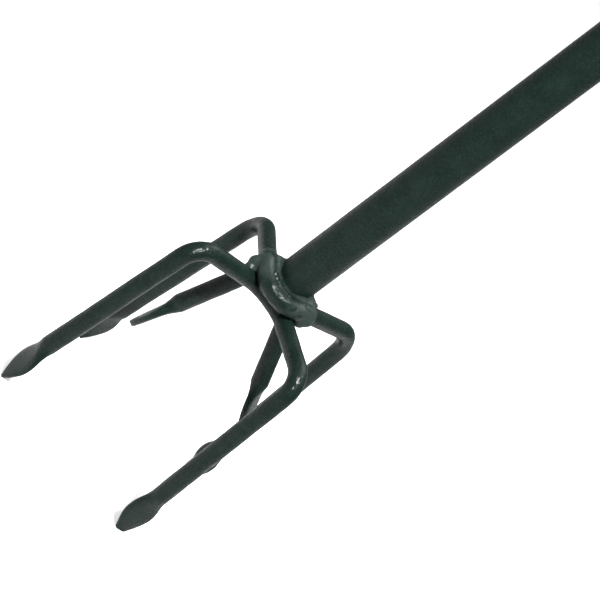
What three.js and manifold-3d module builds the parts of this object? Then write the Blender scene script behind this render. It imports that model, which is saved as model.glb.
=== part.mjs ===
// Hand twist cultivator (garden claw): four long and two short spear-tipped tines under a straight
// tube, with a telescoping upper shaft, a locking thumb screw and a T handle.
// Millimetres, +Z up. The origin is on the ground under the shaft's axis; the tool stands on its
// four long tine tips. -X is the tool's left, -Y its front.
import * as THREE from 'three';
import { mergeVertices } from 'three/addons/utils/BufferGeometryUtils.js';
import Module from 'manifold-3d';

const wasm = await Module();
wasm.setup();

// ---------------------------------------------------------------- driving dimensions
const gap = 0.3;                       // clearance between neighbouring solids
const roundSides = 32;                 // sides of a tube's circle
const rodSides = 12;                   // sides of a tine rod's circle

const lowerTube = { outerR: 12.7, innerR: 11.2, topZ: 620 };
const rodR = 5.2;                      // 10 mm tine rod under its coat of paint
const frontBendR = 14;                 // centreline bend radius where an arm turns down into a leg
const backBendR = 20;
const middleBendR = 16;                // centreline bend radius beside a rod's straight middle
const shortBendR = 10;                 // the same on the short tine rod

const hubZ = 144;                      // height of the hub's reference plane above the tine tips
const tubeEndZ = hubZ - 2.6;           // lower end of the shaft tube
const crossRodZ = hubZ - 8.2;          // rods that run straight across under the tube's end
const crossRodY = rodR + gap;          // half the spacing of those two rods, side by side

// Each long tine bends down at its corner and ends at its tip; the rods are bent by hand, so no two
// match. A leaning blade's lower edge touches the ground when its tip is this high.
const tipZ = 0.25;
const frontLeftTine = { corner: [-46.2, -45.6, hubZ - 5.9], tip: [-55, -56.7, tipZ] };
const frontRightTine = { corner: [47, -45.5, hubZ - 6.4], tip: [52.2, -52.6, tipZ] };
const backLeftTine = { corner: [-39.8, 45.1, hubZ + 1.5], tip: [-51.9, 55.7, tipZ] };
const backRightTine = { corner: [46.5, 45.1, hubZ + 2.3], tip: [54.1, 59.4, tipZ] };
const frontMiddleX = 11;               // half length of the front rod's straight middle
const wrapR = lowerTube.outerR + rodR + gap;   // centreline of the back rod round the tube's front
const wrapSteps = 14;
const wrapZ = { left: hubZ + 5, front: hubZ + 1.6, right: hubZ + 4.5 };

const shortLeft = { cornerX: -18.5, tipX: -37.3, tipZ: hubZ - 89 };
const shortRight = { cornerX: 12.6, tipX: 50.3, tipZ: hubZ - 76 };

const bladeLength = 29.5;              // spear blade, forged flat from the rod's end
const bladeWidth = 19;
const bladeThickness = 4;
const bladeWidestAt = 18;              // from the tip
const bladeNeckWidth = 9.6;
const bladeRoot = 4;                   // how far the blade reaches up inside the rod
const shoulderLength = 7;              // cone between the round rod and the flat blade
const sharpTip = 1.2;                  // width of a pointed tip
const wornTip = 4.5;                   // the front right tine's tip is worn blunt

const upperTube = { outerR: 9.5, innerR: 8, bottomZ: 470 };
const screwZ = 578;                    // height of the locking screw
const screwHoleR = 4.4;
const screw = { r: 3.7, length: 26 };
const nut = { acrossFlats: 13, thickness: 6.5, boreR: 4.1 };
const knob = { hubR: 8, length: 17, bodyGap: 1, wingSpan: 38, wingThickness: 6, wingHeight: 15 };
const bush = { flangeR: 14.5, flangeHeight: 6, sleeveLength: 22 };
const glide = { flangeHeight: 10, stubLength: 14 };

const barZ = 912;                      // crossbar axis
const bar = { outerR: 12.7, innerR: 11.2, halfLength: 180 };
const grip = { outerR: 16.5, length: 125, endWall: 5, collarR: 18.5, collarWidth: 5 };
const beadR = 2;                       // weld bead radius

// ---------------------------------------------------------------- materials
const finish = (color, roughness, metalness) =>
  new THREE.MeshStandardMaterial({ color, roughness, metalness });
const greenPaint = () => finish(0x2a3a34, 0.45, 0.2);
const blackPlastic = () => finish(0x17181a, 0.55, 0);
const blackRubber = () => finish(0x1b1c1c, 0.85, 0);
const zincSteel = () => finish(0x9a9c9c, 0.4, 0.9);

// ---------------------------------------------------------------- helpers
const v3 = (x, y, z) => new THREE.Vector3(x, y, z);

// A path made of straight steps between its points, one extrusion step for each.
class StepPath extends THREE.Curve {
  constructor(points) {
    super();
    this.points = points;
  }
  getPoint(t, target = new THREE.Vector3()) {
    const place = t * (this.points.length - 1);
    const i = Math.min(Math.floor(place + 1e-9), this.points.length - 2);
    return target.lerpVectors(this.points[i], this.points[i + 1], place - i);
  }
  getPointAt(u, target) {
    return this.getPoint(u, target);
  }
  getTangent(t, target = new THREE.Vector3()) {
    const i = Math.round(t * (this.points.length - 1));
    const next = this.points[Math.min(i + 1, this.points.length - 1)];
    const before = this.points[Math.max(i - 1, 0)];
    return target.subVectors(next, before).normalize();
  }
  getTangentAt(u, target) {
    return this.getTangent(u, target);
  }
}

// Points of a bend of radius r at corner b, between straight runs from a and towards c.
function bendPoints(a, b, c, r) {
  const toA = a.clone().sub(b).normalize();
  const toC = c.clone().sub(b).normalize();
  const angle = toA.angleTo(toC);
  const reach = r / Math.tan(angle / 2);
  const start = b.clone().addScaledVector(toA, reach);
  const middle = toA.clone().add(toC).normalize();
  const centre = b.clone().addScaledVector(middle, r / Math.sin(angle / 2));
  const out = start.clone().sub(centre);
  const along = toA.clone().multiplyScalar(-r);
  const turn = Math.PI - angle;
  const steps = Math.max(2, Math.ceil(turn / 0.26));
  const points = [];
  for (let k = 0; k <= steps; k += 1) {
    const at = (turn * k) / steps;
    points.push(centre.clone().addScaledVector(out, Math.cos(at)).addScaledVector(along, Math.sin(at)));
  }
  return points;
}

// A centreline through the given corners, each rounded with its own bend radius.
function bentPath(corners, radii) {
  const points = [corners[0]];
  for (let i = 1; i < corners.length - 1; i += 1) {
    points.push(...bendPoints(corners[i - 1], corners[i], corners[i + 1], radii[i - 1]));
  }
  points.push(corners[corners.length - 1]);
  return points;
}

function circle(r, sides) {
  const shape = new THREE.Shape();
  for (let i = 0; i < sides; i += 1) {
    const a = (2 * Math.PI * i) / sides;
    if (i === 0) shape.moveTo(r, 0);
    else shape.lineTo(r * Math.cos(a), r * Math.sin(a));
  }
  shape.closePath();
  return shape;
}

function rodAlong(points, r, sides = rodSides) {
  return new THREE.ExtrudeGeometry(circle(r, sides), {
    extrudePath: new StepPath(points), steps: points.length - 1, bevelEnabled: false,
  });
}

// A body of revolution about Z from [radius, height] pairs that close on the axis or on themselves.
function turned(profile, sides = roundSides) {
  const points = profile.map(([r, z]) => new THREE.Vector2(r, z));
  return new THREE.LatheGeometry(points, sides).rotateX(Math.PI / 2);
}

function ring(innerR, outerR, bottom, top, sides = roundSides) {
  return turned([[innerR, bottom], [outerR, bottom], [outerR, top], [innerR, top], [innerR, bottom]], sides);
}

function toSolid(geometry) {
  const bare = geometry.clone();
  bare.deleteAttribute('normal');
  bare.deleteAttribute('uv');
  const merged = mergeVertices(bare, 1e-4);
  return new wasm.Manifold(new wasm.Mesh({
    numProp: 3,
    vertProperties: new Float32Array(merged.attributes.position.array),
    triVerts: new Uint32Array(merged.index.array),
  }));
}

function toGeometry(solid) {
  const mesh = solid.getMesh();
  const geometry = new THREE.BufferGeometry();
  geometry.setAttribute('position', new THREE.BufferAttribute(mesh.vertProperties, 3));
  geometry.setIndex(new THREE.BufferAttribute(mesh.triVerts, 1));
  geometry.computeVertexNormals();
  return geometry;
}

const joined = (...parts) => toGeometry(parts.map(toSolid).reduce((all, one) => all.add(one)));
const cut = (body, ...tools) =>
  toGeometry(tools.map(toSolid).reduce((left, tool) => left.subtract(tool), toSolid(body)));

const tool = new THREE.Group();
function piece(name, geometry, material) {
  const mesh = new THREE.Mesh(geometry, material);
  mesh.name = name;
  tool.add(mesh);
  return mesh;
}

// ---------------------------------------------------------------- tines
function spearOutline(tipWidth) {
  const shape = new THREE.Shape();
  shape.moveTo(-tipWidth / 2, 0);
  shape.lineTo(tipWidth / 2, 0);
  shape.quadraticCurveTo(bladeWidth * 0.36, bladeWidestAt * 0.5, bladeWidth / 2, bladeWidestAt);
  shape.quadraticCurveTo(bladeWidth * 0.44, bladeWidestAt + 7, bladeNeckWidth / 2, bladeLength);
  shape.lineTo(bladeNeckWidth / 2, bladeLength + bladeRoot);
  shape.lineTo(-bladeNeckWidth / 2, bladeLength + bladeRoot);
  shape.lineTo(-bladeNeckWidth / 2, bladeLength);
  shape.quadraticCurveTo(-bladeWidth * 0.44, bladeWidestAt + 7, -bladeWidth / 2, bladeWidestAt);
  shape.quadraticCurveTo(-bladeWidth * 0.36, bladeWidestAt * 0.5, -tipWidth / 2, 0);
  return shape;
}

// The flat blade and its shoulder, with the tip at `tip`, running up towards `corner`; `across` is
// the direction of its width.
function blade(tip, corner, across, tipWidth) {
  const up = corner.clone().sub(tip).normalize();
  const wide = across.clone().addScaledVector(up, -across.dot(up)).normalize();
  const place = new THREE.Matrix4().makeBasis(wide, up, wide.clone().cross(up)).setPosition(tip);
  const flat = new THREE.ExtrudeGeometry(spearOutline(tipWidth), {
    depth: bladeThickness, bevelEnabled: false, curveSegments: 5,
  }).translate(0, 0, -bladeThickness / 2);
  const shoulder = new THREE.CylinderGeometry(rodR, bladeThickness / 2, shoulderLength, rodSides)
    .translate(0, bladeLength - shoulderLength / 2 + 0.5, 0);
  return [flat.applyMatrix4(place), shoulder.applyMatrix4(place)];
}

const legStart = (tip, corner) =>
  tip.clone().addScaledVector(corner.clone().sub(tip).normalize(), bladeLength);
const aroundAxis = (tip) => v3(-tip.y, tip.x, 0).normalize();

const tipFrontLeft = v3(...frontLeftTine.tip);
const tipFrontRight = v3(...frontRightTine.tip);
const tipBackLeft = v3(...backLeftTine.tip);
const tipBackRight = v3(...backRightTine.tip);

// Front rod: crosses under the tube's end and bends down into the two front tines.
const frontLeft = v3(...frontLeftTine.corner);
const frontRight = v3(...frontRightTine.corner);

function frontRodPath() {
  return bentPath([
    legStart(tipFrontLeft, frontLeft),
    frontLeft,
    v3(-frontMiddleX, -crossRodY, crossRodZ),
    v3(frontMiddleX, -crossRodY, crossRodZ),
    frontRight,
    legStart(tipFrontRight, frontRight),
  ], [frontBendR, middleBendR, middleBendR, frontBendR]);
}

function frontTineRod() {
  return joined(
    rodAlong(frontRodPath(), rodR),
    ...blade(tipFrontLeft, frontLeft, aroundAxis(tipFrontLeft), sharpTip),
    ...blade(tipFrontRight, frontRight, aroundAxis(tipFrontRight), wornTip),
  );
}

// Angle at which a straight arm from `corner` touches the wrap circle; side is +1 or -1.
function tangentAngle(corner, side) {
  return Math.atan2(corner.y, corner.x) + side * Math.acos(wrapR / Math.hypot(corner.x, corner.y));
}

const backLeft = v3(...backLeftTine.corner);
const backRight = v3(...backRightTine.corner);
const wrapStart = tangentAngle(backLeft, 1);
const wrapEnd = tangentAngle(backRight, -1) + 2 * Math.PI;

// Height of the wrapped stretch at a fraction of its way round, left to right.
function wrapHeight(t) {
  const side = t < 0.5 ? wrapZ.left : wrapZ.right;
  return wrapZ.front + (side - wrapZ.front) * Math.pow(Math.abs(2 * t - 1), 2);
}

function wrapPoints(radius, rise, from = 0, to = 1) {
  const points = [];
  for (let k = 0; k <= wrapSteps; k += 1) {
    const t = from + ((to - from) * k) / wrapSteps;
    const a = wrapStart + (wrapEnd - wrapStart) * t;
    points.push(v3(radius * Math.cos(a), radius * Math.sin(a), wrapHeight(t) + rise));
  }
  return points;
}

// Back rod: wraps round the front of the tube, then two arms run back and turn down.
function backRodPath() {
  const wrap = wrapPoints(wrapR, 0);
  return [
    legStart(tipBackLeft, backLeft),
    ...bendPoints(tipBackLeft, backLeft, wrap[0], backBendR),
    ...wrap,
    ...bendPoints(wrap[wrap.length - 1], backRight, tipBackRight, backBendR),
    legStart(tipBackRight, backRight),
  ];
}

function backTineRod() {
  return joined(
    rodAlong(backRodPath(), rodR),
    ...blade(tipBackLeft, backLeft, aroundAxis(tipBackLeft), sharpTip),
    ...blade(tipBackRight, backRight, aroundAxis(tipBackRight), sharpTip),
  );
}

// Short rod: crosses under the tube beside the front rod and splays into the two short tines.
function shortTineRod() {
  const [left, right] = [shortLeft, shortRight].map((s) => v3(s.cornerX, crossRodY, crossRodZ));
  const [tipL, tipR] = [shortLeft, shortRight].map((s) => v3(s.tipX, crossRodY, s.tipZ));
  const path = bentPath([legStart(tipL, left), left, right, legStart(tipR, right)],
    [shortBendR, shortBendR]);
  return joined(
    rodAlong(path, rodR),
    ...blade(tipL, left, v3(0, 1, 0), sharpTip),
    ...blade(tipR, right, v3(0, 1, 0), sharpTip),
  );
}

piece('front_tine_rod', frontTineRod(), greenPaint());
piece('back_tine_rod', backTineRod(), greenPaint());
piece('short_tine_rod', shortTineRod(), greenPaint());

// ---------------------------------------------------------------- hub welds
// Bead in the corner between the wrapped rod and the tube's front.
const wrapBeadR = lowerTube.outerR + gap + beadR;
const wrapBeadRise = Math.sqrt((rodR + gap + beadR) ** 2 - (wrapR - wrapBeadR) ** 2);
piece('weld_wrap', rodAlong(wrapPoints(wrapBeadR, wrapBeadRise + 0.1, 0.04, 0.96), beadR, 8),
  greenPaint());

// Lump of weld metal that ties the wrapped rod to the front rod's arm, cut clear of both and of
// the tube.
function weldLump(centre, radii) {
  const lump = new THREE.SphereGeometry(1, 12, 8).scale(...radii).translate(...centre);
  const clearR = rodR + gap;
  return cut(lump,
    rodAlong(frontRodPath(), clearR),
    rodAlong(backRodPath(), clearR),
    new THREE.CylinderGeometry(lowerTube.outerR + gap, lowerTube.outerR + gap, 60, roundSides)
      .rotateX(Math.PI / 2).translate(0, 0, tubeEndZ + 30 - gap));
}

piece('weld_left', weldLump([-16.5, -12.5, hubZ - 3.2], [7.5, 5.5, 4]), greenPaint());
piece('weld_right', weldLump([16.5, -12.5, hubZ - 3.2], [7.5, 5.5, 4]), greenPaint());

// Straight beads along X: under the tube's rim in front of the front rod, and in the groove under
// the two cross rods.
function straightBead(y, z, r, halfLength) {
  return rodAlong([v3(-halfLength, y, z), v3(0, y, z), v3(halfLength, y, z)], r, 8);
}

const grooveDrop = Math.sqrt((rodR + gap + beadR) ** 2 - crossRodY ** 2) + 0.1;
piece('weld_rim', straightBead(-11.5, crossRodZ + 3.5, 1.6, 6), greenPaint());
piece('weld_groove', straightBead(0, crossRodZ - grooveDrop, beadR, 9), greenPaint());

// ---------------------------------------------------------------- shaft
const lowerTubeBody = ring(lowerTube.innerR, lowerTube.outerR, tubeEndZ, lowerTube.topZ);
const screwHole = new THREE.CylinderGeometry(screwHoleR, screwHoleR, 10, 16)
  .translate(0, -lowerTube.outerR, screwZ);
piece('lower_tube', cut(lowerTubeBody, screwHole), greenPaint());

// The upper tube's top is coped to sit under the crossbar.
const upperTubeBody = ring(upperTube.innerR, upperTube.outerR, upperTube.bottomZ, barZ);
const copeTool = new THREE.CylinderGeometry(bar.outerR + gap, bar.outerR + gap, 60, roundSides)
  .rotateZ(Math.PI / 2).translate(0, 0, barZ);
piece('upper_tube', cut(upperTubeBody, copeTool), greenPaint());

function tubeBush() {
  const inner = upperTube.outerR + gap;
  const sleeve = lowerTube.innerR - gap;
  const seat = lowerTube.topZ + gap;
  return turned([
    [inner, lowerTube.topZ - bush.sleeveLength],
    [sleeve, lowerTube.topZ - bush.sleeveLength],
    [sleeve, seat],
    [bush.flangeR, seat],
    [bush.flangeR, seat + bush.flangeHeight - 1.5],
    [bush.flangeR - 1.5, seat + bush.flangeHeight],
    [inner, seat + bush.flangeHeight],
    [inner, lowerTube.topZ - bush.sleeveLength],
  ]);
}

// Plastic foot in the upper tube's lower end that runs inside the lower tube.
function tubeGlide() {
  const outer = lowerTube.innerR - gap;
  const stub = upperTube.innerR - gap;
  const top = upperTube.bottomZ - gap;
  return turned([
    [stub - 2, top - glide.flangeHeight],
    [outer - 1, top - glide.flangeHeight],
    [outer, top - glide.flangeHeight + 1],
    [outer, top],
    [stub, top],
    [stub, top + glide.stubLength],
    [stub - 2, top + glide.stubLength],
    [stub - 2, top - glide.flangeHeight],
  ]);
}

piece('tube_bush', tubeBush(), blackPlastic());
piece('tube_glide', tubeGlide(), blackPlastic());

// ---------------------------------------------------------------- locking screw, along -Y
const screwTipY = -(upperTube.outerR + gap);
const nutInnerY = -(lowerTube.outerR + gap);
const screwEndY = screwTipY - screw.length;
// Turned about Z, then laid along -Y: a height h above the shaft's axis becomes y = -h.
const alongMinusY = (geometry) => geometry.rotateX(Math.PI / 2).translate(0, 0, screwZ);

function screwShank() {
  const chamfer = 1;
  return alongMinusY(turned([
    [0, -screwTipY], [screw.r - chamfer, -screwTipY], [screw.r, -screwTipY + chamfer],
    [screw.r, -screwEndY], [0, -screwEndY],
  ], 20));
}

function screwNut() {
  const hex = circle(nut.acrossFlats / Math.sqrt(3), 6);
  hex.holes.push(new THREE.Path(circle(nut.boreR, 20).getPoints().reverse()));
  return alongMinusY(new THREE.ExtrudeGeometry(hex, { depth: nut.thickness, bevelEnabled: false })
    .translate(0, 0, -nutInnerY));
}

function wing() {
  const half = knob.wingSpan / 2;
  const shape = new THREE.Shape();
  shape.moveTo(-half, 5);
  shape.quadraticCurveTo(-half, 0, -half + 6, 0);
  shape.lineTo(half - 6, 0);
  shape.quadraticCurveTo(half, 0, half, 5);
  shape.lineTo(half, knob.wingHeight - 4);
  shape.quadraticCurveTo(half, knob.wingHeight, half - 4, knob.wingHeight);
  shape.lineTo(-half + 4, knob.wingHeight);
  shape.quadraticCurveTo(-half, knob.wingHeight, -half, knob.wingHeight - 4);
  shape.closePath();
  return new THREE.ExtrudeGeometry(shape, {
    depth: knob.wingThickness, bevelEnabled: false, curveSegments: 4,
  }).translate(0, 0, -knob.wingThickness / 2).rotateX(Math.PI / 2);
}

function screwKnob() {
  const start = -nutInnerY + nut.thickness + knob.bodyGap;
  const end = start + knob.length;
  const hub = turned([
    [0, start], [knob.hubR, start], [knob.hubR, end - 2], [knob.hubR - 2, end], [0, end],
  ], 28);
  const bore = turned([
    [0, start - 1], [screw.r + gap, start - 1], [screw.r + gap, -screwEndY + gap], [0, -screwEndY + gap],
  ], 20);
  const body = joined(hub, wing().translate(0, 0, start + 1));
  return alongMinusY(cut(body, bore));
}

piece('screw_nut', screwNut(), greenPaint());
piece('thumb_screw', screwShank(), zincSteel());
piece('screw_knob', screwKnob(), blackPlastic());

// ---------------------------------------------------------------- T handle
const alongX = (geometry) => geometry.rotateY(Math.PI / 2).translate(0, 0, barZ);
piece('crossbar', alongX(ring(bar.innerR, bar.outerR, -bar.halfLength, bar.halfLength)), greenPaint());

// Half of the bead round the joint between the upper tube and the crossbar, from one angle to
// another; it follows the coped edge.
function teeBead(from, to) {
  const around = upperTube.outerR + gap + beadR;
  const below = bar.outerR + gap + beadR;
  const points = [];
  for (let k = 0; k <= 14; k += 1) {
    const a = from + ((to - from) * k) / 14;
    const y = around * Math.sin(a);
    points.push(v3(around * Math.cos(a), y, barZ - Math.sqrt(below ** 2 - y ** 2)));
  }
  return rodAlong(points, beadR, 8);
}

const beadBreak = 0.1;                 // half the angle left open where the two passes meet
piece('weld_tee_left', teeBead(Math.PI / 2 + beadBreak, 1.5 * Math.PI - beadBreak), greenPaint());
piece('weld_tee_right', teeBead(-Math.PI / 2 + beadBreak, Math.PI / 2 - beadBreak), greenPaint());

// Sleeve, closed at its outer end, with a collar at its inner end.
function gripProfile() {
  const bore = bar.outerR + gap;
  const seat = bar.halfLength + gap;
  const end = seat + grip.endWall;
  const inner = end - grip.length;
  return [
    [bore, inner], [grip.collarR, inner], [grip.collarR, inner + grip.collarWidth],
    [grip.outerR, inner + 2 * grip.collarWidth], [grip.outerR, end - 3], [grip.outerR - 3, end],
    [0, end], [0, seat], [bore, seat], [bore, inner],
  ];
}

function gripSleeve(side) {
  const sleeve = turned(gripProfile());
  if (side < 0) sleeve.rotateX(Math.PI);
  return alongX(sleeve);
}

piece('grip_left', gripSleeve(-1), blackRubber());
piece('grip_right', gripSleeve(1), blackRubber());

export default tool;
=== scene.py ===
from math import acos, atan2, ceil, cos, exp, hypot, pi, radians, sin, sqrt, tan

import bmesh
import bpy
from mathutils import Matrix, Vector, noise


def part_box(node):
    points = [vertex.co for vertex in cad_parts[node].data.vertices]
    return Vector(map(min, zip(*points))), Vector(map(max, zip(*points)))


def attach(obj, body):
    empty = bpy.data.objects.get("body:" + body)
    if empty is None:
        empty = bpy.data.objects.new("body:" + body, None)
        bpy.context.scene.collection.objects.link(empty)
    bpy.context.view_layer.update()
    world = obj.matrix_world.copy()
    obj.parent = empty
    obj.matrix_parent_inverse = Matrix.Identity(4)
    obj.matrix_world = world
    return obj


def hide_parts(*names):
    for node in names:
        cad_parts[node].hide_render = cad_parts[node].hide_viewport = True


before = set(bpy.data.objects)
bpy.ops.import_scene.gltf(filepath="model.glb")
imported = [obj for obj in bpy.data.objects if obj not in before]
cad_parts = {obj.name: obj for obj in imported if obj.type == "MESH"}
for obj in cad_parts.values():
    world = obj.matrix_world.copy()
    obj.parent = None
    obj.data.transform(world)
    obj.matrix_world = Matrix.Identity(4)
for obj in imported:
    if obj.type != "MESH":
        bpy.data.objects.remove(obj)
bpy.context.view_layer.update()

# A hand twist cultivator standing on its four long tine tips. Metres, +Z up the shaft, -Y the front.
MM = 0.001

# ------------------------------------------------------------------ driving dimensions
HUB_Z = 144 * MM                      # hub reference plane above the tine tips
ROD_R = 5.4 * MM                      # tine rod; 10 mm stock by name, drawn thicker to fit its outline
ROD_SIDES = 40
FRONT_BEND = 14 * MM                  # centreline bend radii at the corners of the three rods
BACK_BEND = 20 * MM
SHORT_BEND = 9 * MM
MIDDLE_BEND = 18 * MM                 # the same at the ends of the front rod's straight middle
FRONT_MIDDLE_X = 9.8 * MM             # half length of that middle
FRONT_Z = HUB_Z - 7.5 * MM            # its height, under the tube's end
CROSS_Z = HUB_Z - 8.2 * MM            # height of the short rod, which crosses beside it
CROSS_Y = 5.5 * MM                    # half the spacing of the two
TIP_Z = 0.25                          # height of a tine's tip in mm, as its blade leans a little


def mm(x, y, z):
    return Vector((x, y, z)) * MM


def hub_mm(x, y, z):
    """A place given in mm, its height from the hub's reference plane."""
    return mm(x, y, z) + Vector((0, 0, HUB_Z))


# A tine's tip stands on the floor; its corner is where its arm turns down into its leg. Each one was
# placed by itself to fit its outline from the camera below, so the depths depend on that camera.
TIP_FRONT_LEFT = mm(-55, -56.7, TIP_Z)
TIP_FRONT_RIGHT = mm(52.2, -52.6, TIP_Z)
TIP_BACK_LEFT = mm(-51.9, 55.7, TIP_Z)
TIP_BACK_RIGHT = mm(54.1, 59.4, TIP_Z)
FRONT_LEFT = hub_mm(-46.2, -45.6, -5.9)
FRONT_RIGHT = hub_mm(47.0, -45.5, -6.4)
BACK_LEFT = hub_mm(-39.8, 45.1, 1.5)
BACK_RIGHT = hub_mm(46.5, 45.1, 2.3)
SHORT_LEFT = Vector((-17.8 * MM, CROSS_Y, CROSS_Z))
SHORT_RIGHT = Vector((12.6 * MM, CROSS_Y, CROSS_Z))
TIP_SHORT_LEFT = Vector((-37.3 * MM, CROSS_Y, HUB_Z - 89 * MM))
TIP_SHORT_RIGHT = Vector((50.3 * MM, CROSS_Y, HUB_Z - 76 * MM))
WRAP_R = 18.2 * MM                    # centreline radius of the back rod round the tube
WRAP_Z = (HUB_Z + 5 * MM, HUB_Z + 1.6 * MM, HUB_Z + 4.5 * MM)   # left, front, right
WRAP_STEPS = 40

# Spear blade, in mm: (distance from a pointed tip, half width, half thickness).
BLADE = [
    (0, 0.6, 1.3), (3.3, 3.1, 1.7), (7, 5.35, 1.9), (10.7, 7.4, 2.0), (14.3, 8.8, 2.1),
    (18, 9.35, 2.2), (21.6, 9.0, 2.4), (25.2, 7.75, 2.9), (28.5, 6.3, 3.9), (33, 5.3, 5.2),
]
BLADE_ZONE = BLADE[-1][0] * MM
BLADE_STEP = 0.6 * MM                 # spacing of a tine's rings in the blade and in the rest
ROD_STEP = 1.5 * MM
# How a tine's blade was forged: where its tip lies on the blade outline, how fast the outline is run
# through, what its width is multiplied by, and what is added to its half thickness.
SHARP = (0.0, 1.0, 1.0, 0.0)
SLIM = (0.0, 1.0, 0.96, 0.0)
WORN = (4.2 * MM, 0.94, 0.93, 0.0)
STOUT = (1.2 * MM, 1.0, 1.0, 0.5 * MM)
WORN_TWIST = radians(-3)              # the worn blade is turned a little on its rod

TUBE_R = 12.8 * MM                    # the weld's collar over the shaft tube, settled to its skin later
WELD_R = 5.55 * MM                    # the weld's skin over the wrapped rod
WALL = 1.5 * MM                       # wall of every tube
SCREW_HOLE_R = 4.4 * MM
PITCH = 1.25 * MM                     # M8 thread
THREAD_R = 3.95 * MM
THREAD_DEPTH = 0.68 * MM
GRIP_RINGS = 16                       # finger rings along a grip

# The paint's dark green, from its darkest to its lightest, its lighter specks, and a paler tone painted
# over the
# ends of the weld: a painted sheen standing in for the broad reflection of soft light there.
PAINT_DARK = (0.0016, 0.0046, 0.0034)
PAINT_LIGHT = (0.0032, 0.0078, 0.0061)
PAINT_SPECK = (0.0070, 0.0125, 0.0106)
PAINTED_SHEEN = (0.0120, 0.0180, 0.0163)

# ------------------------------------------------------------------ small maths


def ease(t):
    t = min(max(t, 0.0), 1.0)
    return t * t * (3 - 2 * t)


def mix(a, b, t):
    return a + (b - a) * t


def bend_points(a, b, c, r):
    """Points of a bend of radius r at corner b, between straight runs from a and towards c."""
    to_a, to_c = (a - b).normalized(), (c - b).normalized()
    angle = to_a.angle(to_c)
    start = b + to_a * (r / tan(angle / 2))
    centre = b + (to_a + to_c).normalized() * (r / sin(angle / 2))
    out = start - centre
    turn = pi - angle
    steps = max(3, ceil(turn / radians(4)))
    return [
        centre + out * cos(turn * k / steps) - to_a * (r * sin(turn * k / steps))
        for k in range(steps + 1)
    ]


def bent_path(corners, bends):
    """A centreline through the corners, each rounded with its own bend radius."""
    points = [corners[0]]
    for i, r in enumerate(bends):
        points += bend_points(corners[i], corners[i + 1], corners[i + 2], r)
    return points + [corners[-1]]


def lengths_along(points):
    total = [0.0]
    for a, b in zip(points, points[1:]):
        total.append(total[-1] + (b - a).length)
    return total


def resample(points, places):
    """The points at the given distances along a path."""
    along = lengths_along(points)
    found, i = [], 0
    for s in places:
        while i < len(along) - 2 and along[i + 1] < s:
            i += 1
        span = max(along[i + 1] - along[i], 1e-9)
        found.append(points[i].lerp(points[i + 1], min(max((s - along[i]) / span, 0), 1)))
    return found


def frames_along(points, first_normal, last_normal=None):
    """(tangent, normal, binormal) at each point, carried along without twist from first_normal, then
    twisted evenly so that it ends on last_normal."""
    count = len(points)
    tangents = [
        (points[min(i + 1, count - 1)] - points[max(i - 1, 0)]).normalized() for i in range(count)
    ]
    normals = []
    normal = first_normal
    for t in tangents:
        normal = (normal - t * normal.dot(t)).normalized()
        normals.append(normal)
    twist = 0.0
    if last_normal is not None:
        t = tangents[-1]
        goal = (last_normal - t * last_normal.dot(t)).normalized()
        twist = atan2(t.dot(normals[-1].cross(goal)), normals[-1].dot(goal))
    along = lengths_along(points)
    result = []
    for i, t in enumerate(tangents):
        turned = Matrix.Rotation(twist * along[i] / along[-1], 3, t) @ normals[i]
        result.append((t, turned, t.cross(turned)))
    return result


def unevenness(p, size, amount):
    """A small, fixed, smooth bump height for a place on the object."""
    return amount * noise.noise(p / size)


# ------------------------------------------------------------------ meshes


def grid_faces(rings, around):
    """Faces of a closed body made of rings of vertices, with a cap at each end."""
    faces = []
    for i in range(rings - 1):
        for j in range(around):
            k = (j + 1) % around
            here, after = i * around, (i + 1) * around
            faces.append((here + j, here + k, after + k, after + j))
    faces.append(tuple(range(around))[::-1])
    faces.append(tuple((rings - 1) * around + j for j in range(around)))
    return faces


def tidy_mesh(mesh, sharp):
    """Turns every face outwards and shades it smooth, but for edges sharper than that many degrees."""
    bm = bmesh.new()
    bm.from_mesh(mesh)
    bmesh.ops.recalc_face_normals(bm, faces=bm.faces)
    bm.to_mesh(mesh)
    bm.free()
    for face in mesh.polygons:
        face.use_smooth = True
    mesh.set_sharp_from_angle(angle=radians(sharp))


def add_object(name, verts, faces):
    mesh = bpy.data.meshes.new(name)
    mesh.from_pydata([tuple(v) for v in verts], [], faces)
    obj = bpy.data.objects.new(name, mesh)
    bpy.context.scene.collection.objects.link(obj)
    return obj


def finish_piece(obj, material, body, nodes, sharp=40):
    """Gives a new piece its material, its body and the CAD nodes it stands for."""
    tidy_mesh(obj.data, sharp)
    obj.data.materials.clear()
    obj.data.materials.append(material)
    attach(obj, body)
    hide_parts(*nodes)
    return obj


def sweep(points, frames, sections):
    """Rings of a swept body; sections(i) gives the ring's list of (normal, binormal) offsets."""
    verts = []
    for i, (p, (_, n, b)) in enumerate(zip(points, frames)):
        verts += [p + n * x + b * y for x, y in sections(i)]
    return verts


def superellipse(half_x, half_y, power, around):
    """Points round an ellipse, of power 2, or a rounder-cornered box, of a higher power."""
    ring = []
    for j in range(around):
        a = 2 * pi * j / around
        c, s = cos(a), sin(a)
        x = half_x * abs(c) ** (2 / power) * (1 if c >= 0 else -1)
        y = half_y * abs(s) ** (2 / power) * (1 if s >= 0 else -1)
        ring.append((x, y))
    return ring


def apply_modifiers(obj):
    graph = bpy.context.evaluated_depsgraph_get()
    mesh = bpy.data.meshes.new_from_object(obj.evaluated_get(graph))
    obj.modifiers.clear()
    obj.data = mesh


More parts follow.
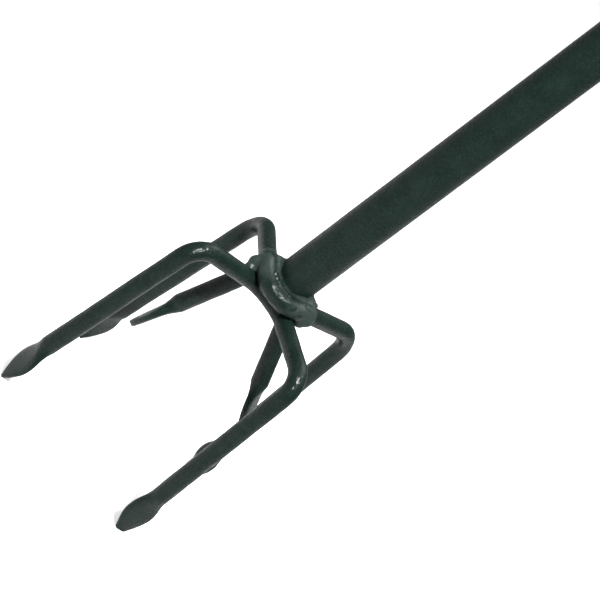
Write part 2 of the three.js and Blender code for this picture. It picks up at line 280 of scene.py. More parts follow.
def fused(name, parts, voxel, smooth, fillet=0.0):
    """One closed skin over several overlapping closed bodies, as molten or moulded material has. A
    fillet fills inner corners up to that radius, by swelling the skin and shrinking it again."""
    bpy.ops.object.select_all(action="DESELECT")
    for part in parts:
        part.select_set(True)
    bpy.context.view_layer.objects.active = parts[0]
    bpy.ops.object.join()
    obj = parts[0]
    obj.name = name

    def skin():
        remesh = obj.modifiers.new("skin", "REMESH")
        remesh.mode = "VOXEL"
        remesh.voxel_size = voxel

    def swell(distance):
        push = obj.modifiers.new("swell", "DISPLACE")
        push.strength = distance
        push.mid_level = 0.0

    skin()
    if fillet:
        swell(fillet)
        skin()
        swell(-fillet)
        skin()
    soft = obj.modifiers.new("soft", "SMOOTH")
    soft.iterations = smooth
    soft.factor = 0.5
    apply_modifiers(obj)
    obj.data.name = name
    return obj


def ball(centre, radii):
    """A round or egg-shaped body, to be fused into a weld."""
    bm = bmesh.new()
    bmesh.ops.create_icosphere(bm, subdivisions=3, radius=1.0)
    obj = add_object("ball", [], [])
    for v in bm.verts:
        v.co = Vector(centre) + Vector((v.co.x * radii[0], v.co.y * radii[1], v.co.z * radii[2]))
    bm.to_mesh(obj.data)
    bm.free()
    return obj


def softened(profile, radius, steps=4):
    """A closed outline of (r, z) pairs with each corner rounded."""
    count = len(profile)
    out = []
    for i in range(count):
        b = Vector(profile[i])
        a, c = Vector(profile[i - 1]), Vector(profile[(i + 1) % count])
        la, lc = (a - b).length, (c - b).length
        if b.x < 1e-7 or min(la, lc) < 1e-9:
            out.append((b.x, b.y))
            continue
        reach = min(radius, la * 0.45, lc * 0.45)
        p, q = b + (a - b) * (reach / la), b + (c - b) * (reach / lc)
        for k in range(steps + 1):
            t = k / steps
            point = p * (1 - t) ** 2 + b * (2 * t * (1 - t)) + q * t ** 2
            out.append((point.x, point.y))
    return out


def turned(name, profile, around, place=Matrix.Identity(4), bump=None):
    """A body of revolution about Z from a closed outline, moved by place. The outline may touch the
    axis. bump(angle, z) is added to its radius."""
    verts, rings = [], []
    for r, z in profile:
        if r < 1e-7:
            rings.append([len(verts)] * around)
            verts.append(Vector((0, 0, z)))
            continue
        ring = []
        for j in range(around):
            a = 2 * pi * j / around
            ring.append(len(verts))
            extra = bump(a, z) if bump else 0.0
            verts.append(Vector(((r + extra) * cos(a), (r + extra) * sin(a), z)))
        rings.append(ring)
    faces = []
    for i, ring in enumerate(rings):
        after = rings[(i + 1) % len(rings)]
        for j in range(around):
            k = (j + 1) % around
            corners = [ring[j], ring[k], after[k], after[j]]
            face = [c for n, c in enumerate(corners) if c not in corners[:n]]
            if len(face) > 2:
                faces.append(tuple(face))
    return add_object(name, [place @ v for v in verts], faces)


# ------------------------------------------------------------------ materials


def shader(name):
    material = bpy.data.materials.new(name)
    material.use_nodes = True
    nodes = material.node_tree.nodes
    return material, nodes, material.node_tree.links, nodes["Principled BSDF"]


def noise_node(nodes, links, scale, detail, coords):
    node = nodes.new("ShaderNodeTexNoise")
    node.inputs["Scale"].default_value = scale
    node.inputs["Detail"].default_value = detail
    links.new(coords, node.inputs["Vector"])
    return node


def ramp_node(nodes, links, value, low, high, colours):
    """The first colour where value is under low, the second over high, and a blend between."""
    node = nodes.new("ShaderNodeValToRGB")
    node.color_ramp.elements[0].position = low
    node.color_ramp.elements[1].position = high
    node.color_ramp.elements[0].color = (*colours[0], 1)
    node.color_ramp.elements[1].color = (*colours[1], 1)
    links.new(value, node.inputs["Fac"])
    return node


def grey(v):
    return (v, v, v)


def bump_chain(nodes, links, principled, layers):
    """Stacks bump layers of (height output, depth in metres, strength) on the shader's normal."""
    last = None
    for height, depth, strength in layers:
        bump = nodes.new("ShaderNodeBump")
        bump.inputs["Strength"].default_value = strength
        bump.inputs["Distance"].default_value = depth
        links.new(height, bump.inputs["Height"])
        if last:
            links.new(last.outputs["Normal"], bump.inputs["Normal"])
        last = bump
    links.new(last.outputs["Normal"], principled.inputs["Normal"])
    if principled.inputs["Coat Weight"].default_value:
        links.new(last.outputs["Normal"], principled.inputs["Coat Normal"])


def mix_colour(nodes, links, factor, a, b):
    """a shaded into the plain colour b by factor."""
    blend = nodes.new("ShaderNodeMix")
    blend.data_type = "RGBA"
    links.new(factor, blend.inputs["Factor"])
    links.new(a, blend.inputs["A"])
    blend.inputs["B"].default_value = (*b, 1)
    return blend.outputs["Result"]


def painted_sheen_ends(nodes, links, coords):
    """1 over the two ends of the weld, beside the tube, where the painted sheen lies, and 0 in front of
    it.
    """
    split = nodes.new("ShaderNodeSeparateXYZ")
    links.new(coords, split.inputs["Vector"])
    beside = nodes.new("ShaderNodeMath")
    beside.operation = "ABSOLUTE"
    links.new(split.outputs["X"], beside.inputs[0])
    fade = nodes.new("ShaderNodeMapRange")
    fade.interpolation_type = "SMOOTHSTEP"
    fade.inputs["From Min"].default_value = 7 * MM
    fade.inputs["From Max"].default_value = 15 * MM
    links.new(beside.outputs["Value"], fade.inputs["Value"])
    return fade.outputs["Result"]


def green_paint(name, with_painted_sheen):
    """Dark green textured coat: a fine grain with lighter specks, over slow drift in tone, with the
    gloss of thick paint on a rough steel surface. On the weld it takes a paler painted sheen over the
    weld's two ends, standing in for the broad reflection of soft light there."""
    material, nodes, links, principled = shader(name)
    coords = nodes.new("ShaderNodeTexCoord").outputs["Object"]
    drift = noise_node(nodes, links, 110, 4, coords)
    mottle = noise_node(nodes, links, 560, 3, coords)
    grain = noise_node(nodes, links, 1000, 3, coords)
    base = ramp_node(nodes, links, drift.outputs["Fac"], 0.30, 0.70,
                     (PAINT_DARK, PAINT_LIGHT))
    speck = ramp_node(nodes, links, grain.outputs["Fac"], 0.46, 0.74, (grey(0), grey(0.8)))
    colour = mix_colour(nodes, links, speck.outputs["Color"], base.outputs["Color"],
                        PAINT_SPECK)
    if with_painted_sheen:
        # Paler painted sheen over the weld's two ends, standing in for the broad reflection of soft
        # light there.
        ends = painted_sheen_ends(nodes, links, coords)
        colour = mix_colour(nodes, links, ends, colour, PAINTED_SHEEN)
    links.new(colour, principled.inputs["Base Color"])
    rough = ramp_node(nodes, links, mottle.outputs["Fac"], 0.3, 0.7, (grey(0.42), grey(0.58)))
    links.new(rough.outputs["Color"], principled.inputs["Roughness"])
    principled.inputs["Specular IOR Level"].default_value = 0.03
    principled.inputs["Coat Weight"].default_value = 0.17
    principled.inputs["Coat Roughness"].default_value = 0.10
    bump_chain(nodes, links, principled, [
        (mottle.outputs["Fac"], 0.0009, 0.50),
        (grain.outputs["Fac"], 0.0003, 0.60),
    ])
    return material


def plain_material(name, low, high, rough, grain_scale, depth, metallic=0.0, gloss=0.5):
    """A material with slow drift between two colours and a fine grain of the given bump depth."""
    material, nodes, links, principled = shader(name)
    coords = nodes.new("ShaderNodeTexCoord").outputs["Object"]
    drift = noise_node(nodes, links, 90, 3, coords)
    grain = noise_node(nodes, links, grain_scale, 3, coords)
    base = ramp_node(nodes, links, drift.outputs["Fac"], 0.35, 0.7, (low, high))
    links.new(base.outputs["Color"], principled.inputs["Base Color"])
    finish = ramp_node(nodes, links, grain.outputs["Fac"], 0.3, 0.7,
                       (grey(rough - 0.08), grey(rough + 0.08)))
    links.new(finish.outputs["Color"], principled.inputs["Roughness"])
    principled.inputs["Metallic"].default_value = metallic
    principled.inputs["Specular IOR Level"].default_value = gloss
    bump_chain(nodes, links, principled, [(grain.outputs["Fac"], depth, 0.5)])
    return material


PAINT = green_paint("green_paint", False)
# The weld's paint carries the painted sheen over its two ends.
WELD_PAINT = green_paint("green_paint_on_weld", True)
PLASTIC = plain_material("black_plastic", grey(0.006), grey(0.010), rough=0.44,
                         grain_scale=1400, depth=0.0001, gloss=0.16)
RUBBER = plain_material("black_rubber", grey(0.006), grey(0.011), rough=0.66,
                        grain_scale=700, depth=0.0002, gloss=0.10)
ZINC = plain_material("zinc_steel", grey(0.50), (0.60, 0.60, 0.58), rough=0.34,
                      grain_scale=1500, depth=0.00005, metallic=1.0)

# ------------------------------------------------------------------ tine rods


def smooth_between(table, s, column):
    """A smooth curve through a table's rows, by the distance in the first column."""
    rows = [table[0], *table, table[-1]]
    for i in range(1, len(rows) - 2):
        if s <= rows[i + 1][0] or i == len(rows) - 3:
            break
    a, b, c, d = (row[column] for row in rows[i - 1:i + 3])
    span = rows[i + 1][0] - rows[i][0]
    t = min(max((s - rows[i][0]) / span, 0.0), 1.0)
    return 0.5 * (2 * b + (c - a) * t + (2 * a - 5 * b + 4 * c - d) * t ** 2
                  + (3 * b - a - 3 * c + d) * t ** 3)


def blade_section(up, forging):
    """Cross-section of a tine at a distance up from its tip: flat spear blade, shoulder, round rod."""
    start, rate, width, extra = forging
    s = start + up * rate
    if s >= BLADE_ZONE:
        return superellipse(ROD_R, ROD_R, 2.0, ROD_SIDES)
    roundness = ease((s - 20 * MM) / (13 * MM))
    half = smooth_between(BLADE, s / MM, 1) * MM * mix(width, 1, roundness)
    thick = smooth_between(BLADE, s / MM, 2) * MM + extra * (1 - roundness)
    return superellipse(half, thick, mix(3.0, 2.0, roundness), ROD_SIDES)


def tine_rod(name, path, across, forgings):
    """A bent rod whose two ends are forged blades. across and forgings give, for each end, the
    direction of the blade's width and how it was forged."""
    total = lengths_along(path)[-1]
    places, s = [], 0.0
    while s < total / 2:
        places.append(s)
        s += BLADE_STEP if s < BLADE_ZONE else ROD_STEP
    places += [total - p for p in reversed(places)]
    points = resample(path, places)
    frames = frames_along(points, across[0], across[1])

    def ring(i):
        from_left, from_right = places[i], total - places[i]
        if from_left < from_right:
            section = blade_section(from_left, forgings[0])
        else:
            section = blade_section(from_right, forgings[1])
        _, n, b = frames[i]
        uneven = []
        for x, y in section:
            size = hypot(x, y)
            at = points[i] + n * x + b * y
            grow = unevenness(at, 9 * MM, 0.14 * MM) + unevenness(at, 2.5 * MM, 0.05 * MM)
            uneven.append((x * (1 + grow / size), y * (1 + grow / size)))
        return uneven

    return add_object(name, sweep(points, frames, ring), grid_faces(len(points), ROD_SIDES))


def around_axis(tip, twist=0.0):
    """The direction a blade's width lies in: round the shaft's axis, but for a twist."""
    return Matrix.Rotation(twist, 3, "Z") @ Vector((-tip.y, tip.x, 0)).normalized()


def front_path():
    middle = [Vector((x * FRONT_MIDDLE_X, -CROSS_Y, FRONT_Z)) for x in (-1, 1)]
    return bent_path([TIP_FRONT_LEFT, FRONT_LEFT, *middle, FRONT_RIGHT, TIP_FRONT_RIGHT],
                     [FRONT_BEND, MIDDLE_BEND, MIDDLE_BEND, FRONT_BEND])


def tangent_angle(corner, side):
    """Angle at which a straight arm from the corner touches the wrap circle."""
    return atan2(corner.y, corner.x) + side * acos(WRAP_R / hypot(corner.x, corner.y))


WRAP_START = tangent_angle(BACK_LEFT, 1)
WRAP_END = tangent_angle(BACK_RIGHT, -1) + 2 * pi


def wrap_point(t, radius, rise=0.0):
    """A place round the tube's front, t from 0 at the left arm to 1 at the right arm."""
    side = WRAP_Z[0] if t < 0.5 else WRAP_Z[2]
    z = WRAP_Z[1] + (side - WRAP_Z[1]) * (2 * t - 1) ** 2
    a = mix(WRAP_START, WRAP_END, t)
    return Vector((radius * cos(a), radius * sin(a), z + rise))


def wrap_line():
    return [wrap_point(k / WRAP_STEPS, WRAP_R) for k in range(WRAP_STEPS + 1)]


def back_path():
    wrap = wrap_line()
    return [
        TIP_BACK_LEFT,
        *bend_points(TIP_BACK_LEFT, BACK_LEFT, wrap[0], BACK_BEND),
        *wrap,
        *bend_points(wrap[-1], BACK_RIGHT, TIP_BACK_RIGHT, BACK_BEND),
        TIP_BACK_RIGHT,
    ]


def short_path():
    return bent_path([TIP_SHORT_LEFT, SHORT_LEFT, SHORT_RIGHT, TIP_SHORT_RIGHT],
                     [SHORT_BEND, SHORT_BEND])


HEAD = "tine_head"
HANDLE = "handle"

finish_piece(
    tine_rod("front_rod", front_path(),
             (around_axis(TIP_FRONT_LEFT), around_axis(TIP_FRONT_RIGHT, WORN_TWIST)),
             (SHARP, WORN)),
    PAINT, HEAD, ["front_tine_rod"])
finish_piece(
    tine_rod("back_rod", back_path(),
             (around_axis(TIP_BACK_LEFT), around_axis(TIP_BACK_RIGHT)), (SHARP, SLIM)),
    PAINT, HEAD, ["back_tine_rod"])
finish_piece(
    tine_rod("short_rod", short_path(), (Vector((0, 1, 0)), Vector((0.12, 1, 0))),
             (STOUT, SHARP)),
    PAINT, HEAD, ["short_tine_rod"])

# ------------------------------------------------------------------ hub welds


def roughen(obj, *layers):
    """Pushes a piece's surface in and out along its normals by layers of smooth unevenness, each
    (size, amount)."""
    mesh = obj.data
    moved = [
        v.co + v.normal * sum(unevenness(v.co, size, amount) for size, amount in layers)
        for v in mesh.vertices
    ]
    for v, co in zip(mesh.vertices, moved):
        v.co = co
    return obj


def settle(obj):
    """Sinks the weld's thin upper and lower rims just under the tube's skin, and leaves the rest."""
    for v in obj.data.vertices:
        r = hypot(v.co.x, v.co.y)
        away = ease((r - 12.9 * MM) / (0.5 * MM))
        target = mix(12.35 * MM, r, away)
        v.co.x, v.co.y = v.co.x * target / r, v.co.y * target / r
    return obj


def drops(points, radius, pitch, wander=0.0):
    """Overlapping drops of weld metal along a path."""
    total = lengths_along(points)[-1]
    count = max(2, round(total / pitch))
    made = []
    for k, p in enumerate(resample(points, [total * k / count for k in range(count + 1)])):
        chance = Vector((k * 0.9, radius * 900, 3.1))
        r = radius * (1 + 0.14 * noise.noise(chance))
        off = Vector((0, 0, wander * noise.noise(chance + Vector((0, 5, 0)))))
        made.append(ball(p + off, (r, r, r)))
    return made


def bead(name, points, radius):
    return fused(name, drops(points, radius, 1.6 * MM), 0.45 * MM, 3)


def rope(points, radius, across, around):
    """A plain round rod along a path, to be fused into a weld."""
    frames = frames_along(points, across)
    circle = superellipse(radius, radius, 2.0, around)
    verts = sweep(points, frames, lambda i: circle)
    return add_object("rope", verts, grid_faces(len(points), around))


def arm_point(corner, t, reach):
    """A place on the back rod's arm, reach beyond the end of the wrap."""
    start = wrap_point(t, WRAP_R)
    return start + (corner - start).normalized() * reach


def hub_weld():
    """The weld that fills the corners between the wrapped rod, its two arms, the tube and the front
    rod's arms. It is one run of metal, so it is one fused skin over rod and bead."""
    band = [
        arm_point(BACK_LEFT, 0, 9 * MM),
        arm_point(BACK_LEFT, 0, 4 * MM),
        *wrap_line(),
        arm_point(BACK_RIGHT, 1, 4 * MM),
        arm_point(BACK_RIGHT, 1, 9 * MM),
    ]
    tube = [Vector((0, 0, HUB_Z + z * MM)) for z in (-2.4, 4, 10, 16, 22)]
    return [
        rope(band, WELD_R, Vector((0, 0, 1)), 24),
        rope(tube, TUBE_R, Vector((1, 0, 0)), 72),
    ]


def crest():
    """The row of weld ripples along the top of the bead, in front of the tube."""
    line = [wrap_point(0.27 + 0.38 * k / 20, 17.6 * MM, 4.7 * MM) for k in range(21)]
    return drops(line, 2.1 * MM, 2.6 * MM, 0.7 * MM)


def hub_lobes():
    """Broad lumps where each end of the wrapped stretch meets the tube and a front arm, in mm:
    (place from the hub's plane, radii)."""
    lumps = [
        ((-21.2, -9.0, 0.1), (4.6, 4.8, 4.6)),
        ((-21.0, -13.0, -3.0), (3.4, 3.0, 3.0)),
        ((-18.0, -6.5, 3.2), (6.0, 6.0, 5.4)),
        ((-14.0, 1.0, 7.2), (3.7, 5.4, 3.9)),
        ((19.3, -8.0, 0.0), (4.4, 4.4, 4.4)),
        ((21.0, -6.0, 2.4), (4.4, 4.6, 4.4)),
        ((18.4, -6.0, 2.6), (6.0, 6.2, 5.0)),
        ((14.6, 1.5, 7.6), (3.5, 5.4, 3.7)),
        ((17.2, 3.0, 6.8), (3.4, 5.4, 3.4)),
    ]
    return [ball(hub_mm(*place), [r * MM for r in radii]) for place, radii in lumps]




FILLED = fused("filled", hub_weld() + hub_lobes(), 0.42 * MM, 10, 1.7 * MM)
HUB = fused("hub_weld", [FILLED] + crest(), 0.34 * MM, 1)
roughen(HUB, (5 * MM, 0.30 * MM), (1.8 * MM, 0.10 * MM))
settle(HUB)
finish_piece(HUB, WELD_PAINT, HEAD, ["weld_wrap", "weld_left", "weld_right"], sharp=80)


def straight(y, z, half):
    """A straight line of points along X."""
    return [Vector((mix(-half, half, k / 8), y, z)) for k in range(9)]


finish_piece(bead("weld_rim_bead", straight(-11.3 * MM, CROSS_Z + 3.4 * MM, 9 * MM), 2.2 * MM),
             PAINT, HEAD, ["weld_rim"], sharp=80)
finish_piece(bead("weld_groove_bead", straight(0, CROSS_Z - 4.6 * MM, 10 * MM), 2.4 * MM),
             PAINT, HEAD, ["weld_groove"], sharp=80)

# ------------------------------------------------------------------ shaft tubes


def middle_z(node):
    lo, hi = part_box(node)
    return (lo.z + hi.z) / 2


def half_x(node):
    lo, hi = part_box(node)
    return (hi.x - lo.x) / 2


def half_z(node):
    lo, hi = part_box(node)
    return (hi.z - lo.z) / 2


LOWER_R = half_x("lower_tube")
UPPER_R = half_x("upper_tube")
BAR_R = half_z("crossbar")
SCREW_Z = middle_z("thumb_screw")
BAR_Z = middle_z("crossbar")
# These two turn a body made about Z onto the screw's axis and onto the crossbar's.
TO_MINUS_Y = Matrix.Translation((0, 0, SCREW_Z)) @ Matrix.Rotation(radians(90), 4, "X")
TO_X = Matrix.Translation((0, 0, BAR_Z)) @ Matrix.Rotation(radians(90), 4, "Y")


def tube_wall(outer, bottom, top):
    """Outline of a tube's wall with rounded rims, its faces divided so that they can be uneven."""
    inner = outer - WALL
    soft = 0.35 * MM
    rim = softened([(inner, bottom), (outer, bottom), (outer, top), (inner, top)], soft)
    count = len(rim) // 4
    low, high = rim[count:2 * count], rim[2 * count:3 * count]
    rows = max(2, round((top - bottom) / (3 * MM)))
    outside = [(outer, mix(bottom + soft, top - soft, k / rows)) for k in range(1, rows)]
    return [*rim[:count], *low, *outside, *high, *rim[3 * count:]]


def drawn(outer, seam_at):
    """Surface of a drawn tube: slightly uneven, with a faint welded seam along it."""
    def height(a, z):
        away = (a - seam_at + pi) % (2 * pi) - pi
        place = Vector((outer * cos(a), outer * sin(a), z))
        seam = 0.10 * MM * exp(-(away * outer / (0.8 * MM)) ** 2)
        return seam + unevenness(place, 14 * MM, 0.05 * MM)
    return height


def drill(obj, centre, radius, depth):
    """Cuts a round hole along Y, with a small countersink, through a tube's front wall."""
    profile = [
        (0, -depth), (radius, -depth), (radius, depth * 0.2), (radius + 0.5 * MM, depth), (0, depth),
    ]
    place = Matrix.Translation(centre) @ Matrix.Rotation(radians(90), 4, "X")
    drill_bit = turned("drill", profile, 40, place)
    tidy_mesh(drill_bit.data, 30)
    tidy_mesh(obj.data, 30)
    cutter = obj.modifiers.new("hole", "BOOLEAN")
    cutter.operation = "DIFFERENCE"
    cutter.solver = "EXACT"
    cutter.object = drill_bit
    apply_modifiers(obj)
    bpy.data.objects.remove(drill_bit)
    return obj


def lower_tube():
    """The shaft tube, with the locking screw's hole."""
    lo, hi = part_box("lower_tube")
    wall = tube_wall(LOWER_R, lo.z, hi.z)
    tube = turned("shaft_tube", wall, 96, bump=drawn(LOWER_R, radians(100)))
    return drill(tube, (0, -LOWER_R, SCREW_Z), SCREW_HOLE_R, 3 * MM)


def upper_tube():
    """The sliding tube; its top is coped to sit inside the crossbar's wall."""
    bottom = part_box("upper_tube")[0].z
    cope = BAR_R - 0.8 * MM
    top = BAR_Z - sqrt(cope ** 2 - UPPER_R ** 2)
    tube = turned("slide_tube", tube_wall(UPPER_R, bottom, top), 80, bump=drawn(UPPER_R, radians(80)))
    for v in tube.data.vertices:
        fall = top - (BAR_Z - sqrt(cope ** 2 - min(abs(v.co.y), UPPER_R) ** 2))
        v.co.z -= fall * ease((v.co.z - top + 30 * MM) / (28 * MM))
    return tube


finish_piece(lower_tube(), PAINT, HEAD, ["lower_tube"], 35)
finish_piece(upper_tube(), PAINT, HANDLE, ["upper_tube"], 35)


def tube_bush():
    """Plastic guide in the top of the lower tube, with gripping ribs round its flange."""
    lo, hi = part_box("tube_bush")
    flange = half_x("tube_bush")
    bore = UPPER_R + 0.15 * MM
    sleeve = LOWER_R - WALL - 0.2 * MM
    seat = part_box("lower_tube")[1].z + 0.05 * MM
    outline = softened([
        (bore, lo.z), (sleeve, lo.z), (sleeve, seat), (flange, seat), (flange, hi.z - 1.6 * MM),
        (flange - 1.8 * MM, hi.z), (bore, hi.z),
    ], 0.5 * MM)

    def ribs(a, z):
        if z < seat + 0.8 * MM or z > hi.z - 2.0 * MM:
            return 0.0
        return 0.0 if cos(30 * a) > 0 else -0.45 * MM

    return turned("tube_bush_ribbed", outline, 240, bump=ribs)


def tube_glide():
    """Plastic foot of the upper tube: a ring that slides in the lower tube, and a stub in the upper."""
    lo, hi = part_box("tube_glide")
    outer = half_x("tube_glide")
    stub = UPPER_R - WALL - 0.3 * MM
    bore = stub - 2 * MM
    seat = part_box("upper_tube")[0].z - 0.3 * MM
    outline = softened([
        (bore, lo.z), (outer - 1 * MM, lo.z), (outer, lo.z + 1 * MM), (outer, seat),
        (stub, seat), (stub, hi.z), (bore, hi.z),
    ], 0.4 * MM)
    return turned("tube_glide_foot", outline, 72)


finish_piece(tube_bush(), PLASTIC, HEAD, ["tube_bush"], 35)
finish_piece(tube_glide(), PLASTIC, HANDLE, ["tube_glide"], 35)

# ------------------------------------------------------------------ locking screw


def nut():
    """Hexagon weld nut with chamfered corners, on the tube's front."""
    lo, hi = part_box("screw_nut")
    near, far = -hi.y - 0.5 * MM, -lo.y
    flat = half_z("screw_nut")
    bore = THREAD_R + 0.1 * MM
    chamfer = 1.3 * MM
    heights = [near, near + 0.2 * MM, far - chamfer, far - chamfer * 0.66, far - chamfer * 0.33, far]
    outline = [(bore, near)]
    outline += [(flat, h) for h in heights]
    outline += [(bore + 0.6 * MM, far), (bore, far - 0.6 * MM)]

    def hexagon(a, h):
        corner = flat / cos((a + radians(30)) % radians(60) - radians(30)) - flat
        room = max(0.0, (far - h) * 1.8 + 0.15 * MM)
        return min(corner, room) if h > near - 1e-6 and h <= far + 1e-6 else 0.0

    return turned("weld_nut", outline, 144, TO_MINUS_Y, hexagon)


def threaded_screw():
    """M8 thread cut as a real helix along the whole screw, from a blunted point at its inner end."""
    lo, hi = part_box("thumb_screw")
    near, far = -hi.y, -lo.y
    point_depth = 1.2 * MM
    rows = round((far - near) / (PITCH / 10))
    outline = [(0, near), (THREAD_R - point_depth, near)]
    outline += [(THREAD_R, mix(near + 0.4 * MM, far, k / rows)) for k in range(rows + 1)]
    outline.append((0, far))

    def thread(a, h):
        if h <= near + 1e-6 or h >= far - 1e-6:
            return 0.0
        phase = (h / PITCH - a / (2 * pi)) % 1.0
        groove = -THREAD_DEPTH * min(1.0, max(0.0, 1.15 - abs(phase - 0.5) * 2.5))
        point = -point_depth * (1 - ease((h - near) / (1.4 * MM)))
        return groove + point

    return turned("threaded_screw", outline, 48, TO_MINUS_Y, thread)


def wing(side, half, near, far):
    """One wing of the knob, from inside the boss out to its rounded tip."""
    steps = 30
    around = 40
    middle = (near + far) / 2 + 0.4 * MM
    verts = []
    for k in range(steps + 1):
        t = k / steps
        x = mix(1 * MM, half - 0.3 * MM, t)
        end = sqrt(max(0.0, 1 - max(0.0, (t - 0.72) / 0.28) ** 2))
        tall = (far - near - 2.2 * MM) / 2 * (0.80 + 0.20 * ease(t * 1.4)) * max(end, 0.25)
        thick = mix(3.6 * MM, 2.7 * MM, t) * max(end, 0.35)
        section = superellipse(thick, tall, 3.2, around)
        verts += [TO_MINUS_Y @ Vector((side * x, py, middle + pz)) for py, pz in section]
    return add_object("wing", verts, grid_faces(steps + 1, around))


def knob():
    """Moulded wing knob: a round boss and two wings, fused as one moulding."""
    lo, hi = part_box("screw_knob")
    near, far = -hi.y, -lo.y
    boss = half_z("screw_knob")
    outline = softened([
        (0, near), (boss - 0.6 * MM, near), (boss - 0.3 * MM, far - 3 * MM),
        (boss - 2.2 * MM, far), (0, far),
    ], 1.2 * MM, 6)
    parts = [turned("boss", outline, 64, TO_MINUS_Y)]
    parts += [wing(side, half_x("screw_knob"), near, far) for side in (-1, 1)]
    return fused("wing_knob", parts, 0.4 * MM, 6)


finish_piece(nut(), PAINT, HEAD, ["screw_nut"], 30)
finish_piece(threaded_screw(), ZINC, "lock_screw", ["thumb_screw"], 50)
finish_piece(knob(), PLASTIC, "lock_screw", ["screw_knob"], 80)

# ------------------------------------------------------------------ T handle


def crossbar():
    lo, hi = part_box("crossbar")
    return turned("cross_bar_tube", tube_wall(BAR_R, lo.x, hi.x), 96, TO_X, drawn(BAR_R, pi))


def tee_bead(side):
    """Half of the weld round the joint between the upper tube and the crossbar."""
    around = UPPER_R + 1.0 * MM
    below = BAR_R + 0.9 * MM
    points = []
    for k in range(31):
        a = side * radians(90) + radians(-86 + 172 * k / 30)
        x, y = around * sin(a), around * cos(a)
        points.append(Vector((x, y, BAR_Z - sqrt(below ** 2 - y ** 2))))
    name = "tee_bead_left" if side < 0 else "tee_bead_right"
    return roughen(bead(name, points, 2.3 * MM), (2 * MM, 0.2 * MM))


def grip(side):
    """Rubber sleeve with a collar, rings for the fingers and a closed end."""
    name = "grip_left" if side < 0 else "grip_right"
    lo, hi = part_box(name)
    collar = half_z(name)
    body = collar - 2.0 * MM
    bore = BAR_R + 0.05 * MM
    inner, outer = (-hi.x, -lo.x) if side < 0 else (lo.x, hi.x)
    seat = outer - 5 * MM
    start, end = inner + 9 * MM, outer - 9 * MM

    def ring_height(t):
        return 0.5 - 0.5 * cos(2 * pi * GRIP_RINGS * t)

    outline = [
        (bore, inner), (collar - 1.2 * MM, inner), (collar - 0.35 * MM, inner + 0.35 * MM),
        (collar, inner + 1.2 * MM), (collar, inner + 4.0 * MM),
        (collar - 0.4 * MM, inner + 5.0 * MM), (body + 0.5 * MM, inner + 7.5 * MM),
    ]
    rows = 440
    for k in range(rows + 1):
        t = k / rows
        outline.append((body - 0.9 * MM * (1 - ring_height(t) ** 0.35), mix(start, end, t)))
    outline += [
        (body, outer - 5 * MM), (body - 0.25 * MM, outer - 2.6 * MM),
        (body - 1.0 * MM, outer - 1.0 * MM), (body - 2.6 * MM, outer),
        (4.2 * MM, outer), (3.8 * MM, outer - 0.6 * MM), (0, outer - 0.6 * MM),
        (0, seat), (bore, seat),
    ]

    def flutes(a, x):
        """Notches across the rings."""
        if x < start or x > end:
            return 0.0
        height = ring_height((x - start) / (end - start))
        return -0.35 * MM * ease(height * 1.6 - 0.4) * (0.5 - 0.5 * cos(36 * a))

    place = TO_X if side > 0 else TO_X @ Matrix.Rotation(pi, 4, "X")
    return turned(name + "_sleeve", outline, 144, place, flutes)


finish_piece(crossbar(), PAINT, HANDLE, ["crossbar"], 35)
for tee_side, tee_node in ((-1, "weld_tee_left"), (1, "weld_tee_right")):
    finish_piece(tee_bead(tee_side), PAINT, HANDLE, [tee_node], 80)
for grip_side, grip_node in ((-1, "grip_left"), (1, "grip_right")):
    finish_piece(grip(grip_side), RUBBER, HANDLE, [grip_node], 40)

# ------------------------------------------------------------------ floor, light, camera


def floor_material():
    material, nodes, links, principled = shader("floor")
    coords = nodes.new("ShaderNodeTexCoord").outputs["Object"]
    drift = noise_node(nodes, links, 2.0, 2, coords)
    tone = ramp_node(nodes, links, drift.outputs["Fac"], 0.3, 0.7, (grey(0.74), grey(0.76)))
    links.new(tone.outputs["Color"], principled.inputs["Base Color"])
    principled.inputs["Roughness"].default_value = 0.9
    principled.inputs["Specular IOR Level"].default_value = 0.1
    return material


FLOOR_HALF = 30
floor_corners = [(x * FLOOR_HALF, y * FLOOR_HALF, 0) for x, y in ((-1, -1), (1, -1), (1, 1), (-1, 1))]
floor = add_object("floor", floor_corners, [(0, 1, 2, 3)])
floor.data.materials.append(floor_material())


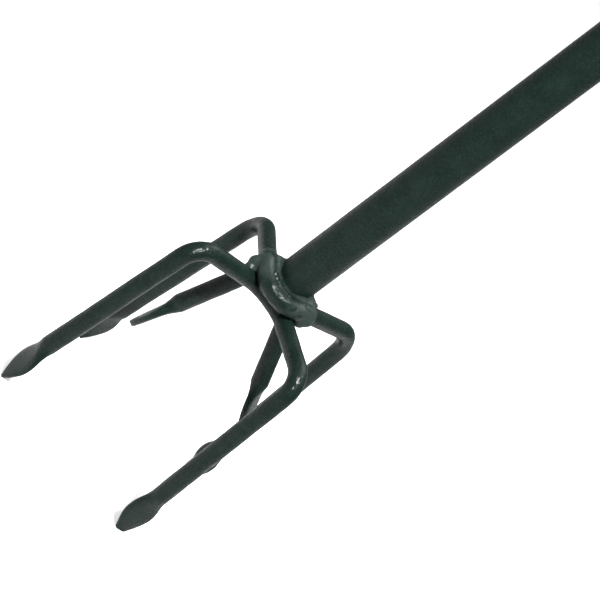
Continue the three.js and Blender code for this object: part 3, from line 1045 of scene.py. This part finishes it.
def area_light(name, place, aim, size, power, spread=radians(180)):
    """A round soft light, size across, at place and turned towards aim."""
    light = bpy.data.lights.new(name, "AREA")
    light.spread = spread
    light.shape = "DISK"
    light.size = size
    light.energy = power
    obj = bpy.data.objects.new(name, light)
    bpy.context.scene.collection.objects.link(obj)
    obj.location = place
    obj.rotation_mode = "QUATERNION"
    obj.rotation_quaternion = (Vector(aim) - Vector(place)).to_track_quat("-Z", "Y")


# The key's narrow spread keeps it off the floor in front of the tool, which the tube mirrors.
area_light("key", (0.16, -0.94, 1.44), (0.02, 0.05, HUB_Z + 0.03), 0.24, 6.2, radians(42))
area_light("top", (0.0, 1.2, 2.6), (0, 0.9, 0), 2.6, 124)
area_light("fill", (-1.8, -0.4, 1.5), (0, 0, 0.3), 1.2, 4)

world = bpy.data.worlds.new("studio")
world.use_nodes = True
background = world.node_tree.nodes["Background"]
background.inputs["Color"].default_value = (1, 1, 1, 1)
background.inputs["Strength"].default_value = 0.22
bpy.context.scene.world = world
bpy.context.scene.view_settings.view_transform = "Standard"

CAMERA_ELEVATION = radians(20)        # chosen: the fits didn't settle the elevation or the distance
CAMERA_DISTANCE = 1.2
CAMERA_ROLL = radians(53.25)          # the shaft leans this far from upright in the picture
CAMERA_FOCAL = 128.5                  # for a 36 mm sensor
AIM_RIGHT = 10.2 * MM                 # the aim point lies this far beside and above the hub
AIM_UP = 4.3 * MM


def add_camera():
    forward = Vector((0, cos(CAMERA_ELEVATION), -sin(CAMERA_ELEVATION)))
    right = Vector((1, 0, 0))
    up = right.cross(forward)
    aim = Vector((0, 0, HUB_Z)) + right * AIM_RIGHT + up * AIM_UP
    lens = bpy.data.cameras.new("camera")
    lens.lens = CAMERA_FOCAL
    lens.sensor_width = 36
    lens.clip_start = 0.05
    obj = bpy.data.objects.new("camera", lens)
    bpy.context.scene.collection.objects.link(obj)
    obj.location = aim - forward * CAMERA_DISTANCE
    rolled_up = up * cos(CAMERA_ROLL) - right * sin(CAMERA_ROLL)
    rolled_right = right * cos(CAMERA_ROLL) + up * sin(CAMERA_ROLL)
    turn = Matrix((rolled_right, rolled_up, -forward)).transposed()
    obj.rotation_mode = "QUATERNION"
    obj.rotation_quaternion = turn.to_quaternion()
    bpy.context.scene.camera = obj


add_camera()
